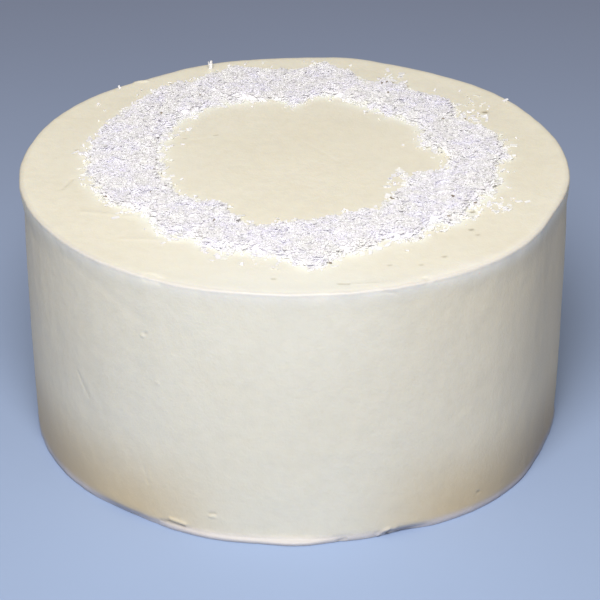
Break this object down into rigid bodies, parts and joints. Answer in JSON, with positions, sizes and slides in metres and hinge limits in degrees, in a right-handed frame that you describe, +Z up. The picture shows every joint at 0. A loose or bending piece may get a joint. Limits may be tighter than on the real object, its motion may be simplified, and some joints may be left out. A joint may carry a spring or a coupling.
{
  "type": "layer cake",
  "caption": "Tall round uncut layer cake, smooth ivory cream all over, with a ring of fine desiccated coconut on top. It stands on its flat underside.",
  "frame": {"origin": "middle of the flat underside", "axes": "+Z up, -Y towards the front"},
  "size_m": [0.2274, 0.225, 0.1181],
  "materials": {
    "cream": "soft satin ivory cream, spread by hand",
    "coconut": "dry white flakes, slightly translucent"
  },
  "bodies": {
    "root": {"cake": "cream"}
  },
  "joints": []
}
